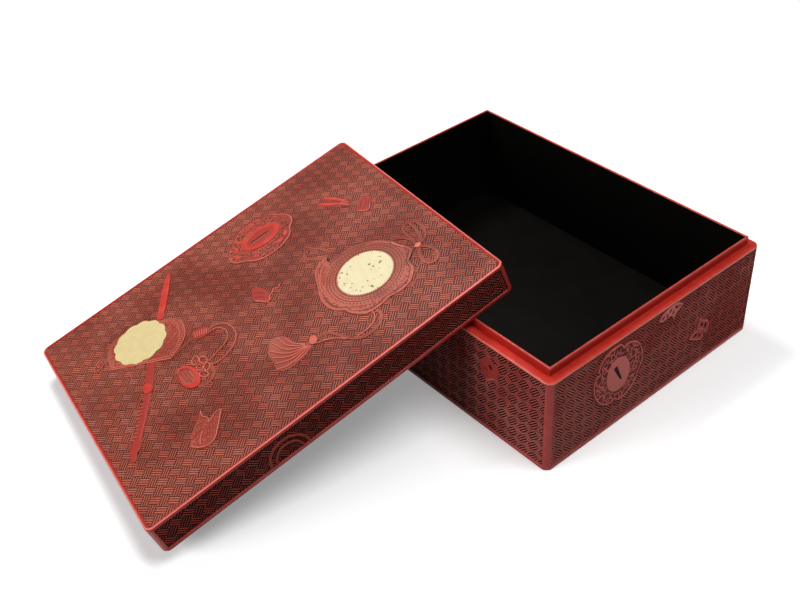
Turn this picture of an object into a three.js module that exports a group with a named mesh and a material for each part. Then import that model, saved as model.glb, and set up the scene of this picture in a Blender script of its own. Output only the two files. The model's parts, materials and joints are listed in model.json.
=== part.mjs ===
// Carved red lacquer document box, open: the base stands level and the lid leans on it.
// Millimetres, +Z up. The origin is the centre of the base's underside.
// +X runs along the base's long side, and -Y is its front.
import * as THREE from 'three';

// Driving sizes of the base
const base = { length: 400, width: 311, facet: 4.6 };
const ledgeTop = 110.5;
const neckRise = 9.5;
const neckThickness = 2.2;
const ledgeWidth = 9;

// Driving sizes of the lid
const lid = { length: 400, width: 311, facet: 4.6 };
const lidHeight = 35.5;
const lidSide = 8.3;

// Lacquer layers, wood and bands
const carvedCoat = 3;
const cutDepth = 0.8;
const plainBand = 1.4;
const footBand = 4.5;
const ledgeThickness = 3;
const underCoat = 0.8;
const floorBoard = 3.4;
const floorCoat = 0.8;
const lidCoat = 2.4;
const lidRimBand = 4;
const lidTopBoard = 4;
const lidMouldingWidth = 4;
const lidMouldingDrop = 3.2;
const lidCutDepth = 1.2;
const lidSideBoardTop = 28.5;

// Pieces of the leaning lid keep this gap to each other
const gap = 0.3;

// How the lid leans: its low short edge is the pivot, near the floor
const lidPlace = { x: -105.43, y: -454.12, z: 7.0 };
const lidTurn = THREE.MathUtils.degToRad(81.993);
const lidTilt = THREE.MathUtils.degToRad(17.755);
const lidRoll = THREE.MathUtils.degToRad(-2.684);

// Inlays in the lid's top, placed from its low short edge and its front long edge
const mirrorInlay = { along: 302.5, across: 105, radius: 29.8 };
const fanInlay = { along: 88.4, across: 223, radius: 29.5, lobes: 12, lobeDepth: 1.8 };
const inlayThickness = 1;

const sides = ['front', 'right', 'back', 'left'];
const corners = ['front_right', 'back_right', 'back_left', 'front_left'];

const finish = {
  wood: { color: 0x8a5a3a, roughness: 0.7 },
  blackLacquer: { color: 0x0d0c0c, roughness: 0.35 },
  carvedLacquer: { color: 0x7c2018, roughness: 0.5 },
  redLacquer: { color: 0xb81e10, roughness: 0.3 },
  cream: { color: 0xebe1b4, roughness: 0.45 },
};

// A mesh with one of the finishes
function piece(name, geometry, finishName) {
  const material = new THREE.MeshStandardMaterial({ ...finish[finishName], metalness: 0 });
  const mesh = new THREE.Mesh(geometry, material);
  mesh.name = name;
  return mesh;
}

// Changes every vertex of a geometry by a function of its coordinates
function reshape(geometry, change) {
  const position = geometry.attributes.position;
  for (let i = 0; i < position.count; i += 1) {
    position.setXYZ(i, ...change(position.getX(i), position.getY(i), position.getZ(i)));
  }
  geometry.deleteAttribute('normal');
  geometry.computeVertexNormals();
  return geometry;
}

// Exact quarter turns about Z, from the front side to the others
function quarterTurns(geometry, count) {
  const turned = [
    (x, y, z) => [x, y, z],
    (x, y, z) => [-y, x, z],
    (x, y, z) => [-x, -y, z],
    (x, y, z) => [y, -x, z],
  ];
  return reshape(geometry, turned[count]);
}

// Half the length of a side, and how far it stands from the middle
function sideSpan(box, side) {
  const isLong = side % 2 === 0;
  return {
    along: (isLong ? box.length : box.width) / 2,
    across: (isLong ? box.width : box.length) / 2,
  };
}

// Width of the corner facet, measured along a side, on an outline set in from the outer one
function facetAt(box, inset) {
  const smallestFacet = 0.4;
  return Math.max(box.facet - inset * (2 - Math.SQRT2), smallestFacet);
}

// A bar along one side with a mitre at each corner. The profile's points are [inset, height].
function mitredBar(box, side, profile) {
  const { along, across } = sideSpan(box, side);
  const shape = new THREE.Shape(profile.map(([inset, height]) => new THREE.Vector2(inset, height)));
  const stations = 3;
  const bar = new THREE.ExtrudeGeometry(shape, { depth: stations, steps: stations, bevelEnabled: false });
  reshape(bar, (inset, height, place) => {
    const station = Math.round(place);
    const facet = facetAt(box, inset);
    const atMitre = station === 0 || station === stations;
    const cutBack = atMitre ? facet / 2 : facet;
    const setBack = atMitre ? facet / 2 : 0;
    const reach = along - inset - cutBack;
    return [station < stations / 2 ? -reach : reach, inset + setBack - across, height];
  });
  return quarterTurns(bar, side);
}

// A rectangular profile for mitredBar
function rectangle(outer, inner, low, high) {
  return [[outer, low], [inner, low], [inner, high], [outer, high]];
}

// Points on an arc of a profile, from one angle to another, in degrees
function arc(inset, height, radius, from, to, steps) {
  const points = [];
  for (let i = 0; i <= steps; i += 1) {
    const angle = THREE.MathUtils.degToRad(from + ((to - from) * i) / steps);
    points.push([inset + radius * Math.cos(angle), height + radius * Math.sin(angle)]);
  }
  return points;
}

// A flat panel on one side, which stops short of each corner
function sidePanel(box, side, endMargin, outer, inner, low, high) {
  const { along, across } = sideSpan(box, side);
  const panel = new THREE.BoxGeometry(2 * (along - endMargin), inner - outer, high - low);
  panel.translate(0, (inner + outer) / 2 - across, (high + low) / 2);
  return quarterTurns(panel, side);
}

// A strip that wraps the corner at the right end of a side: the facet and a flat band beside it
function cornerStrip(box, side, thickness, low, high) {
  const { along, across } = sideSpan(box, side);
  const outerFacet = box.facet;
  const innerFacet = facetAt(box, thickness);
  const end = box.facet + plainBand;
  const plan = [
    [along - end, -across],
    [along - outerFacet, -across],
    [along, outerFacet - across],
    [along, end - across],
    [along - thickness, end - across],
    [along - thickness, thickness + innerFacet - across],
    [along - thickness - innerFacet, thickness - across],
    [along - end, thickness - across],
  ];
  const shape = new THREE.Shape(plan.map(([x, y]) => new THREE.Vector2(x, y)));
  const strip = new THREE.ExtrudeGeometry(shape, { depth: high - low, bevelEnabled: false });
  strip.translate(0, 0, low);
  return quarterTurns(strip, side);
}

// A flat plate with faceted corners, set in from the box's outline
function plate(box, inset, low, high) {
  const x = box.length / 2 - inset;
  const y = box.width / 2 - inset;
  const facet = facetAt(box, inset);
  const outline = [
    [x - facet, -y], [x, facet - y], [x, y - facet], [x - facet, y],
    [facet - x, y], [-x, y - facet], [-x, facet - y], [facet - x, -y],
  ];
  const shape = new THREE.Shape(outline.map(([px, py]) => new THREE.Vector2(px, py)));
  const board = new THREE.ExtrudeGeometry(shape, { depth: high - low, bevelEnabled: false });
  board.translate(0, 0, low);
  return board;
}

// The base: floor, four lacquered walls, and the neck that the lid goes over
function makeBase() {
  const group = new THREE.Group();
  const add = (name, geometry, finishName) => group.add(piece(name, geometry, finishName));
  const floorTop = underCoat + floorBoard;
  const panelTop = ledgeTop - ledgeThickness;
  const neckInset = ledgeWidth + neckThickness;
  const neckTop = ledgeTop + neckRise;
  const neckRound = neckThickness / 2;
  const arrisRadius = 1.6;

  add('underside_lacquer', plate(base, carvedCoat, 0, underCoat), 'blackLacquer');
  add('floor_board', plate(base, ledgeWidth, underCoat, floorTop), 'wood');
  add('floor_lining', plate(base, neckInset, floorTop, floorTop + floorCoat), 'blackLacquer');

  const board = rectangle(carvedCoat, ledgeWidth, underCoat, panelTop);
  const foot = rectangle(0, carvedCoat, 0, footBand);
  const ledge = [
    [0, panelTop],
    [ledgeWidth, panelTop],
    [ledgeWidth, ledgeTop],
    ...arc(arrisRadius, ledgeTop - arrisRadius, arrisRadius, 90, 180, 3),
  ];
  const neck = [
    [ledgeWidth, floorTop],
    [neckInset, floorTop],
    ...arc(ledgeWidth + neckRound, neckTop - neckRound, neckRound, 0, 180, 6),
  ];
  const panelMargin = base.facet + plainBand;
  sides.forEach((side, i) => {
    const panel = sidePanel(base, i, panelMargin, cutDepth, carvedCoat, footBand, panelTop);
    add(`${side}_wall_board`, mitredBar(base, i, board), 'wood');
    add(`${side}_carved_panel`, panel, 'carvedLacquer');
    add(`${side}_foot_band`, mitredBar(base, i, foot), 'redLacquer');
    add(`${side}_ledge`, mitredBar(base, i, ledge), 'redLacquer');
    add(`${side}_neck`, mitredBar(base, i, neck), 'redLacquer');
  });
  corners.forEach((corner, i) => {
    const strip = cornerStrip(base, i, carvedCoat, footBand, panelTop);
    add(`corner_strip_${corner}`, strip, 'redLacquer');
  });
  return group;
}

// A round plate with small scallops round its edge
function scallopedPlate({ radius, lobes, lobeDepth }, low, high) {
  const stepsPerLobe = 6;
  const points = [];
  for (let i = 0; i < lobes * stepsPerLobe; i += 1) {
    const angle = (2 * Math.PI * i) / (lobes * stepsPerLobe);
    const reach = radius - lobeDepth * (1 - Math.abs(Math.cos((lobes * angle) / 2)));
    points.push(new THREE.Vector2(reach * Math.cos(angle), reach * Math.sin(angle)));
  }
  const shape = new THREE.Shape(points);
  const body = new THREE.ExtrudeGeometry(shape, { depth: high - low, bevelEnabled: false });
  body.translate(0, 0, low);
  return body;
}

// The lid, closed side down: its own front and right match the base's when it is closed
function makeLid() {
  const group = new THREE.Group();
  const add = (name, geometry, finishName) => group.add(piece(name, geometry, finishName));
  const boardInset = lidCoat + gap;
  const boardLow = lidSideBoardTop + gap;
  const boardHigh = boardLow + lidTopBoard;
  const mouldingLow = lidHeight - lidMouldingDrop;
  const innerEase = 1.5;
  const mouldingRadius = 2;

  const carvingInset = lidMouldingWidth + gap;
  const carvingHigh = lidHeight - lidCutDepth;
  add('lid_top_board', plate(lid, boardInset, boardLow, boardHigh), 'blackLacquer');
  add('lid_top_carving', plate(lid, carvingInset, boardHigh + gap, carvingHigh), 'carvedLacquer');

  const board = [
    [boardInset, 0],
    [lidSide - innerEase, 0],
    [lidSide, innerEase],
    [lidSide, lidSideBoardTop],
    [boardInset, lidSideBoardTop],
  ];
  const rimBand = rectangle(0, lidCoat, 0, lidRimBand);
  const moulding = [
    [0, mouldingLow],
    [lidCoat, mouldingLow],
    [lidCoat, boardHigh + gap],
    [lidMouldingWidth, boardHigh + gap],
    [lidMouldingWidth, lidHeight],
    ...arc(mouldingRadius, lidHeight - mouldingRadius, mouldingRadius, 90, 180, 4),
  ];
  const stripLow = lidRimBand + gap;
  const stripHigh = mouldingLow - gap;
  const panelMargin = lid.facet + plainBand + gap;
  sides.forEach((side, i) => {
    const panel = sidePanel(lid, i, panelMargin, cutDepth, lidCoat, stripLow, stripHigh);
    add(`lid_${side}_board`, mitredBarApart(board, i), 'blackLacquer');
    add(`lid_${side}_carved_panel`, panel, 'carvedLacquer');
    add(`lid_${side}_rim_band`, mitredBarApart(rimBand, i), 'redLacquer');
    add(`lid_${side}_moulding`, mitredBarApart(moulding, i), 'redLacquer');
  });
  corners.forEach((corner, i) => {
    const strip = cornerStrip(lid, i, lidCoat, stripLow, stripHigh);
    add(`lid_corner_strip_${corner}`, strip, 'redLacquer');
  });

  const inlayLow = carvingHigh + gap;
  const disc = new THREE.CylinderGeometry(mirrorInlay.radius, mirrorInlay.radius, inlayThickness, 72);
  disc.rotateX(Math.PI / 2);
  disc.translate(...inlayCentre(mirrorInlay), inlayLow + inlayThickness / 2);
  add('mirror_inlay', disc, 'cream');
  const scallops = scallopedPlate(fanInlay, inlayLow, inlayLow + inlayThickness);
  scallops.translate(...inlayCentre(fanInlay), 0);
  add('fan_inlay', scallops, 'cream');
  return group;
}

// A bar of the lid, whose mitres stand a little apart
function mitredBarApart(profile, side) {
  const bar = mitredBar(lid, side, profile);
  const { along } = sideSpan(lid, side);
  const shrink = 1 - gap / Math.SQRT2 / along;
  const isLong = side % 2 === 0;
  return reshape(bar, (x, y, z) => [isLong ? x * shrink : x, isLong ? y : y * shrink, z]);
}

// An inlay's centre, from the lid's middle
function inlayCentre({ along, across }) {
  return [along - lid.length / 2, across - lid.width / 2];
}

// The lid's pivot line is its low short edge, half its width from each long side
function leaningLid() {
  const lean = new THREE.Group();
  lean.position.set(lidPlace.x, lidPlace.y, lidPlace.z);
  lean.rotation.order = 'ZYX';
  lean.rotation.set(lidRoll, -lidTilt, lidTurn);
  const cover = makeLid();
  cover.position.x = lid.length / 2;
  lean.add(cover);
  return lean;
}

const box = new THREE.Group();
box.add(makeBase(), leaningLid());

export default box;
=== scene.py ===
# %% [markdown]
# # A carved red lacquer box, open, with its lid leaning on it
# The box is wood under many coats of red lacquer. The coats are carved: a fret ground covers
# every face, ornament stands on it, and smooth bands frame each face. The inside is black.
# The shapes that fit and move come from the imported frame. This file makes what the eye sees.

# %% Load the frame
import json
import math
import random

import bmesh
import bpy
from mathutils import Matrix, Vector


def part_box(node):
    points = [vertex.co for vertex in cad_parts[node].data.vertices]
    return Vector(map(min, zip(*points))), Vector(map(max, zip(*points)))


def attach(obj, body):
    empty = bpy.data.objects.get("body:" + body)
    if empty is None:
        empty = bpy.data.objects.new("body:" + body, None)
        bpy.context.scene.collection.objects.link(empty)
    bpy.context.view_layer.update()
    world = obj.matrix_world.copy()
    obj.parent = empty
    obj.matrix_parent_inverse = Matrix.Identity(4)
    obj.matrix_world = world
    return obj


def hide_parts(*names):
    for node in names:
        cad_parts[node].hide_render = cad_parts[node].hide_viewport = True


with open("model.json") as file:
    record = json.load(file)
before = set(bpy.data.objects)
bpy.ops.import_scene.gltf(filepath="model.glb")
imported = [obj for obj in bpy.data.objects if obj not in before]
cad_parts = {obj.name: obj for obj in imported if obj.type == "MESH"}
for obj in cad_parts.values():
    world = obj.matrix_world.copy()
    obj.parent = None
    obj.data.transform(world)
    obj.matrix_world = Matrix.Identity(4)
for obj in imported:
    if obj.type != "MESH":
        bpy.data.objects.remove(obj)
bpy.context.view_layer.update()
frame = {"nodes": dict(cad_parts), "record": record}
MM = 0.001

# %% [markdown]
# ## The camera
# The photograph was taken with a lens of about 50 mm from a little over a metre away, looking
# down on the corner between the front and the right side. The camera could be placed by eye,
# but the long straight edges of the box allow a fit, whose results are named here. Angles are
# in radians.

# %% Camera at the photograph's viewpoint
TURN = 0.9010
HEIGHT_ANGLE = 0.63346
CAMERA_ROLL = -0.06068
TARGET = Vector((-89.16, -90.34, 60.0)) * MM
DISTANCE = 1236.49 * MM
FOCAL_PIXELS = 1120.5
CENTRE_PIXEL = (397.30, 262.82)
PHOTO_WIDTH = 800
PHOTO_HEIGHT = 600
SENSOR_WIDTH = 36.0


def add_object(name, data):
    """A new object of the scene, at the origin."""
    made = bpy.data.objects.new(name, data)
    bpy.context.scene.collection.objects.link(made)
    return made


def make_camera():
    back = Vector((
        math.sin(TURN) * math.cos(HEIGHT_ANGLE),
        -math.cos(TURN) * math.cos(HEIGHT_ANGLE),
        math.sin(HEIGHT_ANGLE),
    ))
    level_right = (-back).cross(Vector((0, 0, 1))).normalized()
    level_up = level_right.cross(-back)
    right = math.cos(CAMERA_ROLL) * level_right + math.sin(CAMERA_ROLL) * level_up
    up = -math.sin(CAMERA_ROLL) * level_right + math.cos(CAMERA_ROLL) * level_up
    data = bpy.data.cameras.new("camera")
    data.sensor_width = SENSOR_WIDTH
    data.lens = FOCAL_PIXELS / PHOTO_WIDTH * SENSOR_WIDTH
    data.shift_x = (PHOTO_WIDTH / 2 - CENTRE_PIXEL[0]) / PHOTO_WIDTH
    data.shift_y = (CENTRE_PIXEL[1] - PHOTO_HEIGHT / 2) / PHOTO_WIDTH
    camera = add_object("camera", data)
    turn = Matrix((right, up, back)).transposed().to_4x4()
    camera.matrix_world = Matrix.Translation(TARGET + DISTANCE * back) @ turn
    bpy.context.scene.camera = camera
    print("camera lens:", round(data.lens, 2), "mm")


make_camera()

# %% [markdown]
# ## Shader maths as Python expressions
# A pattern in a material is a formula, and a formula is easier to read as Python than as a
# net of nodes. A small class wraps a socket and overloads the operators that the finishes use,
# so that `0.4 * spots` adds a Math node. Every other node comes from one method of the paint.

# %% A socket that takes operators, and a material that makes nodes


class Value:
    """A number that changes over a surface, with operators that add Math nodes."""

    def __init__(self, paint, socket):
        self.paint = paint
        self.socket = socket

    def math(self, operation, other):
        return self.paint.node("ShaderNodeMath", {"operation": operation}, {0: self, 1: other})

    def __add__(self, other):
        return self.math("ADD", other)

    def __mul__(self, other):
        return self.math("MULTIPLY", other)

    __radd__ = __add__
    __rmul__ = __mul__

    def ramp(self, low, high):
        """0 below low and 1 above high, with a smooth rise between them."""
        return self.paint.node(
            "ShaderNodeMapRange",
            {"interpolation_type": "SMOOTHSTEP"},
            {"Value": self, "From Min": low, "From Max": high},
        )


class Paint:
    """One material and its shader."""

    def __init__(self, name, roughness, specular=0.5, coat=0.0):
        self.material = bpy.data.materials.new(name)
        self.material.use_nodes = True
        self.tree = self.material.node_tree
        self.shader = self.tree.nodes["Principled BSDF"]
        self.shader.inputs["Roughness"].default_value = roughness
        self.shader.inputs["Coat Weight"].default_value = coat
        self.shader.inputs["Specular IOR Level"].default_value = specular

    def connect(self, value, socket):
        if isinstance(value, Value):
            self.tree.links.new(value.socket, socket)
        else:
            socket.default_value = value

    def node(self, kind, settings=None, inputs=None, output=0):
        made = self.tree.nodes.new(kind)
        for key, setting in (settings or {}).items():
            setattr(made, key, setting)
        for key, value in (inputs or {}).items():
            self.connect(value, made.inputs[key])
        return Value(self, made.outputs[output])

    def set(self, **sockets):
        for name, value in sockets.items():
            self.connect(value, self.shader.inputs[name.replace("_", " ")])

    def place(self, size):
        """Object coordinates in units of size metres."""
        point = self.node("ShaderNodeTexCoord", output="Object")
        scale = (1 / size,) * 3
        return self.node("ShaderNodeVectorMath", {"operation": "MULTIPLY"}, {0: point, 1: scale})

    def noise(self, size, detail):
        """Cloudy noise, whose largest clouds measure about size metres."""
        inputs = {"Vector": self.place(size), "Scale": 1.0, "Detail": detail}
        return self.node("ShaderNodeTexNoise", None, inputs)

    def attribute(self, name):
        return self.node("ShaderNodeAttribute", {"attribute_name": name}, output="Fac")

    def mix(self, factor, first, second):
        """From one colour to the other as factor goes from 0 to 1."""
        inputs = {0: factor, 6: first, 7: second}
        return self.node("ShaderNodeMix", {"data_type": "RGBA"}, inputs, output=2)

    def bump(self, height, distance):
        inputs = {"Height": height, "Distance": distance}
        self.set(Normal=self.node("ShaderNodeBump", None, inputs))


print("paint kit ready")

# %% [markdown]
# ## Finishes
# Cinnabar lacquer is satin where it is carved and glossier where it is smooth. Each piece
# carries two numbers at its points, which the finishes read: relief says how far a point
# stands out of the cuts, and wear_and_highlight says how much hands have rubbed it and where a
# crest is painted pale as a highlight. Both could be painted by hand, but worked out from the
# shape they fit every ridge.
#
# Carved lacquer comes first. Its cuts are painted darkest, as painted shade in the cuts. The tops
# of the ground are cloudy and lightly stained. Relief above 1 is the ornament, whose faces are
# a purer red and whose highest edges are pale, partly rubbed and partly a painted highlight.
# The same red comes in three copies, each toned to how its faces are lit, as painted light and
# shade: the lid's top has darker tops and paler cuts, and the lid's sides are the darkest.

# %% Carved red lacquer
STAIN_SHARE = 0.4
FACE_STARTS = (1.3, 1.9)
WORN_AND_HIGHLIT_STARTS = (2.1, 2.9)
CUT_FADE = 0.5


def rgb(red, green, blue):
    """A colour as the eye reads it, 0 to 255, in the linear numbers that a shader takes."""
    def linear(x):
        share = x / 255
        return share / 12.92 if share <= 0.04045 else ((share + 0.055) / 1.055) ** 2.4
    return (linear(red), linear(green), linear(blue), 1.0)


STAIN = rgb(140, 90, 62)


def carved_red(name, cut, dull, pale, face, worn_and_highlit, dark_share, specular):
    """Runs from the painted shade of the cuts, up to dark_share of the relief, over the ground to the
    ornament.
    """
    paint = Paint(name, roughness=0.45, specular=specular)
    relief = paint.attribute("relief")
    cloudy = paint.noise(0.07, 3).ramp(0.35, 0.65)
    spotted = paint.noise(0.004, 3)
    tops = paint.mix(cloudy, dull, pale)
    stained = paint.mix(STAIN_SHARE * spotted.ramp(0.45, 0.75), tops, STAIN)
    # The cut colour at low relief is painted shade at the foot of the cuts.
    carved = paint.mix(relief.ramp(dark_share, dark_share + CUT_FADE), cut, stained)
    raised = paint.mix(relief.ramp(*FACE_STARTS), carved, face)
    # The worn colour on the highest relief is partly rubbed wear and partly a painted highlight.
    paint.set(Base_Color=paint.mix(relief.ramp(*WORN_AND_HIGHLIT_STARTS), raised, worn_and_highlit))
    paint.set(Roughness=0.42 + 0.2 * spotted)
    paint.bump(paint.noise(0.0015, 2), 0.00012)
    return paint.material


# Three copies of one carved red, each toned to how its faces are lit, as painted light and shade: the
# walls' tops are brightest, the lid's sides darkest, and the lid's top has paler cuts.
CARVED = carved_red(
    "carved_red_lacquer", cut=rgb(40, 5, 5), dull=rgb(208, 90, 80), pale=rgb(232, 130, 120),
    face=rgb(164, 56, 50), worn_and_highlit=rgb(236, 132, 124), dark_share=0.45, specular=0.04)
CARVED_LID_SIDE_SHADED = carved_red(
    "carved_side_lacquer_painted_shade", cut=rgb(34, 4, 5), dull=rgb(146, 60, 52), pale=rgb(160, 74, 66),
    face=rgb(136, 54, 48), worn_and_highlit=rgb(190, 104, 96), dark_share=0.4, specular=0.04)
CARVED_TOP_LIGHT_TONED = carved_red(
    "carved_top_lacquer_toned_to_light", cut=rgb(64, 20, 13), dull=rgb(152, 64, 46), pale=rgb(184, 94, 74),
    face=rgb(160, 46, 34), worn_and_highlit=rgb(212, 108, 90), dark_share=0.25, specular=0.4)
print("carved finishes:", CARVED.name, CARVED_LID_SIDE_SHADED.name, CARVED_TOP_LIGHT_TONED.name)

# %% [markdown]
# Smooth lacquer is polished with fine powder, so it has a soft gloss that clouds a little. Every
# crest is paler, partly where it wears through to paler coats and partly as a painted highlight.
# The ledge and the neck are a bright red, and the bands, strips and mouldings a deeper one, whose
# dark is partly painted shade on their sides.

# %% Smooth red lacquer


def smooth_red(name, dull, bright, worn_and_highlit):
    paint = Paint(name, roughness=0.3, specular=0.25, coat=0.05)
    cloudy = paint.noise(0.03, 3)
    # Crests are painted pale by wear_and_highlight, partly as wear and partly as a painted highlight.
    rubbed_and_highlit = paint.attribute("wear_and_highlight") * (0.65 + 0.5 * paint.noise(0.009, 4))
    body = paint.mix(cloudy, dull, bright)
    paint.set(Base_Color=paint.mix(rubbed_and_highlit.ramp(0.25, 0.95), body, worn_and_highlit))
    paint.set(Roughness=0.28 + 0.14 * paint.noise(0.012, 3))
    paint.bump(paint.noise(0.004, 2), 0.0001)
    return paint.material


SMOOTH = smooth_red("smooth_red_lacquer", rgb(172, 26, 18), rgb(196, 38, 26), rgb(226, 124, 106))
# ROSE is darker than SMOOTH partly as painted shade on the sides of mouldings and bands.
ROSE = smooth_red("rose_red_lacquer_painted_shade", rgb(158, 33, 29), rgb(182, 46, 41), rgb(236, 134, 120))
print("smooth finishes:", SMOOTH.name, ROSE.name)

# %% [markdown]
# The rest is simple: black lacquer inside, bare wood where nobody looks, and the two cream
# inlays, of which the mirror's is paler and has dark specks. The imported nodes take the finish
# of their slot, so that any of them that stays in sight looks right.

# %% Black lacquer, wood and cream
SPECK_COLOUR = rgb(84, 66, 38)


def black_lacquer():
    paint = Paint("black_lacquer", roughness=0.3, specular=0.2)
    cloudy = paint.noise(0.05, 3)
    paint.set(Base_Color=paint.mix(cloudy, rgb(4, 3, 2), rgb(12, 9, 7)))
    paint.set(Roughness=0.3 + 0.12 * paint.noise(0.02, 3))
    paint.bump(paint.noise(0.01, 2), 0.0001)
    return paint.material


def plain_wood():
    paint = Paint("plain_wood", roughness=0.6)
    grain = paint.noise(0.002, 4)
    paint.set(Base_Color=paint.mix(grain, rgb(120, 84, 58), rgb(150, 108, 76)))
    paint.bump(grain, 0.0001)
    return paint.material


def cream(name, dull_colour, clean_colour, dirt):
    paint = Paint(name, roughness=0.45, specular=0.3)
    cloudy = paint.noise(0.008, 3)
    specks = paint.noise(0.0036, 1).ramp(0.67, 0.7)
    clean = paint.mix(cloudy, dull_colour, clean_colour)
    paint.set(Base_Color=paint.mix(dirt * specks, clean, SPECK_COLOUR))
    paint.bump(paint.noise(0.003, 2), 0.0001)
    return paint.material


BLACK = black_lacquer()
finishes = {
    "wood_core": plain_wood(),
    "black_lacquer": BLACK,
    "carved_lacquer": CARVED,
    "red_lacquer": SMOOTH,
    "red_lacquered_wood": SMOOTH,
    "cream_inlay": cream("mirror_inlay_cream", rgb(214, 200, 156), rgb(232, 220, 180), 0.85),
}
slot_of = {row["node"]: row["material_slot"] for row in frame["record"]["subparts"]}
for name, node in frame["nodes"].items():
    node.data.materials.clear()
    node.data.materials.append(finishes[slot_of[name]])
frame["nodes"]["fan_inlay"].data.materials[0] = cream(
    "fan_inlay_cream", rgb(206, 186, 130), rgb(224, 206, 152), 0.12)
print("finishes:", len(finishes))

# %% [markdown]
# ## Places
# Base and lid have the same plan, an oblong with a narrow facet at each corner, so every ring
# and panel can be made once in millimetres round the middle and then put in its place. The
# base's place only turns millimetres into metres. The lid's place also holds its lean, which
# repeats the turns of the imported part. Each face has a frame of its own on top of that, with
# x along the face, y up it and z out of it, so ornament is drawn flat and placed once.

# %% The plan of the box and the frames of its faces
SIDES = ("front", "right", "back", "left")
CORNERS = ("front_right", "back_right", "back_left", "front_left")
LENGTH = 2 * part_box("right_ledge")[1][0] / MM
WIDTH = 2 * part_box("back_ledge")[1][1] / MM
LEDGE_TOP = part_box("front_ledge")[1][2] / MM
LEDGE_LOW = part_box("front_ledge")[0][2] / MM
NECK_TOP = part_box("front_neck")[1][2] / MM
NECK_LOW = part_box("front_neck")[0][2] / MM
FOOT_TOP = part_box("front_foot_band")[1][2] / MM
FACET = 4.6
PLAIN_BAND = 1.4
STRIP_REACH = FACET + PLAIN_BAND
BASE_COAT = 3.0
LID_COAT = 2.4
LID_HEIGHT = 35.5
LID_RIM = 4.0
LID_MOULDING_LOW = LID_HEIGHT - 3.2
LID_MOULDING_WIDTH = 4.0
LID_PANEL_TOP = LID_MOULDING_LOW + 0.5

BASE_PLACE = Matrix.Scale(MM, 4)
LID_PIVOT = Vector((-105.43, -454.12, 7.0)) * MM
LID_TURN = math.radians(81.993)
LID_TILT = math.radians(17.755)
LID_ROLL = math.radians(-2.684)
LID_LEAN = (
    Matrix.Rotation(LID_TURN, 4, "Z")
    @ Matrix.Rotation(-LID_TILT, 4, "Y")
    @ Matrix.Rotation(LID_ROLL, 4, "X")
)
LID_PLACE = (
    Matrix.Translation(LID_PIVOT)
    @ LID_LEAN
    @ Matrix.Scale(MM, 4)
    @ Matrix.Translation((LENGTH / 2, 0, 0))
)


def half_spans(side):
    """Half the length of a side, and how far it stands from the middle."""
    return (LENGTH / 2, WIDTH / 2) if side % 2 == 0 else (WIDTH / 2, LENGTH / 2)


def side_frame(place, side, inset):
    """The frame of a side face, from its lower left corner, set in from the outline."""
    along, across = half_spans(side)
    turn = Matrix.Rotation(side * math.pi / 2, 4, "Z")
    stand = Matrix.Translation((-along, inset - across, 0)) @ Matrix.Rotation(math.pi / 2, 4, "X")
    return place @ turn @ stand


def top_frame(place, height):
    """The frame of the lid's top face, from the corner of its front and left sides."""
    return place @ Matrix.Translation((-LENGTH / 2, -WIDTH / 2, height))


print("plan:", round(LENGTH, 2), "by", round(WIDTH, 2), "mm; ledge at", round(LEDGE_TOP, 2), "mm")

# %% [markdown]
# ## From a bmesh to a finished piece
# Every piece ends the same way: its mesh is moved into place, so that the object itself stays
# at the origin, it is shaded smooth up to a chosen angle, and it is told which body it rides
# on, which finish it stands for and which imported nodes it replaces.

# %% Finish a piece
SMOOTH_ANGLE = math.radians(40)


def as_data(name, mesh):
    """Turns a bmesh into mesh data."""
    data = bpy.data.meshes.new(name)
    mesh.to_mesh(data)
    mesh.free()
    return data


def take_in(mesh, data):
    """Adds mesh data to a bmesh and drops the data."""
    mesh.from_mesh(data)
    bpy.data.meshes.remove(data)


def finish_piece(name, mesh, place, body, materials, replaced=()):
    """Moves a bmesh into place and hands it over as a piece of the part."""
    bmesh.ops.transform(mesh, matrix=place, verts=mesh.verts)
    data = as_data(name, mesh)
    data.shade_smooth()
    data.set_sharp_from_angle(angle=SMOOTH_ANGLE)
    for material in materials:
        data.materials.append(material)
    piece = add_object(name, data)
    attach(piece, body)
    if replaced:
        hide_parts(*replaced)
    data.calc_loop_triangles()
    print(name + ":", len(data.loop_triangles), "triangles")


# %% [markdown]
# ## Smooth rings and corner strips
# The ledge, the neck, the foot band and the lid's moulding are all rings that follow the plan.
# A ring could be a box with a hole cut through it. Here it is swept instead: one loop of the
# plan stands for each point of the ring's section, and each loop is joined to the next, so a
# rounded section is a few more points. The plan itself is a grid of one face whose corners are
# bevelled twice, once for the facet and once to soften it. All the loops come from the same
# steps, so they have the same edges in the same order, and each edge is joined to its twin in
# the next loop. The `bridge_loops` operator is shorter, but on one of these rings it left a
# stray face across the hole.

# %% Loops of the plan, joined into rings
SMALLEST_FACET = 0.4
FACET_ROUND = 2.2
ROUND_STEPS = 3


def plan_loop(inset, height, worn_and_highlit):
    """One closed loop of edges as a mesh, the plan set in by some millimetres."""
    mesh = bmesh.new()
    bmesh.ops.create_grid(mesh, x_segments=1, y_segments=1, size=0.5)
    size = (LENGTH - 2 * inset, WIDTH - 2 * inset, 1)
    bmesh.ops.scale(mesh, vec=size, verts=mesh.verts)
    bmesh.ops.translate(mesh, vec=(0, 0, height), verts=mesh.verts)
    facet = max(FACET - inset * (2 - math.sqrt(2)), SMALLEST_FACET)
    round_off = min(FACET_ROUND, 0.45 * facet * math.sqrt(2))
    for offset, steps in ((facet, 1), (round_off, ROUND_STEPS)):
        bmesh.ops.bevel(
            mesh, geom=mesh.verts[:], offset=offset, affect="VERTICES",
            segments=steps, profile=0.5, material=-1)
    bmesh.ops.delete(mesh, geom=mesh.faces[:], context="FACES_ONLY")
    wear_and_highlight = mesh.verts.layers.float.new("wear_and_highlight")
    for vert in mesh.verts:
        vert[wear_and_highlight] = worn_and_highlit
    return as_data("plan_loop", mesh)


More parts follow.
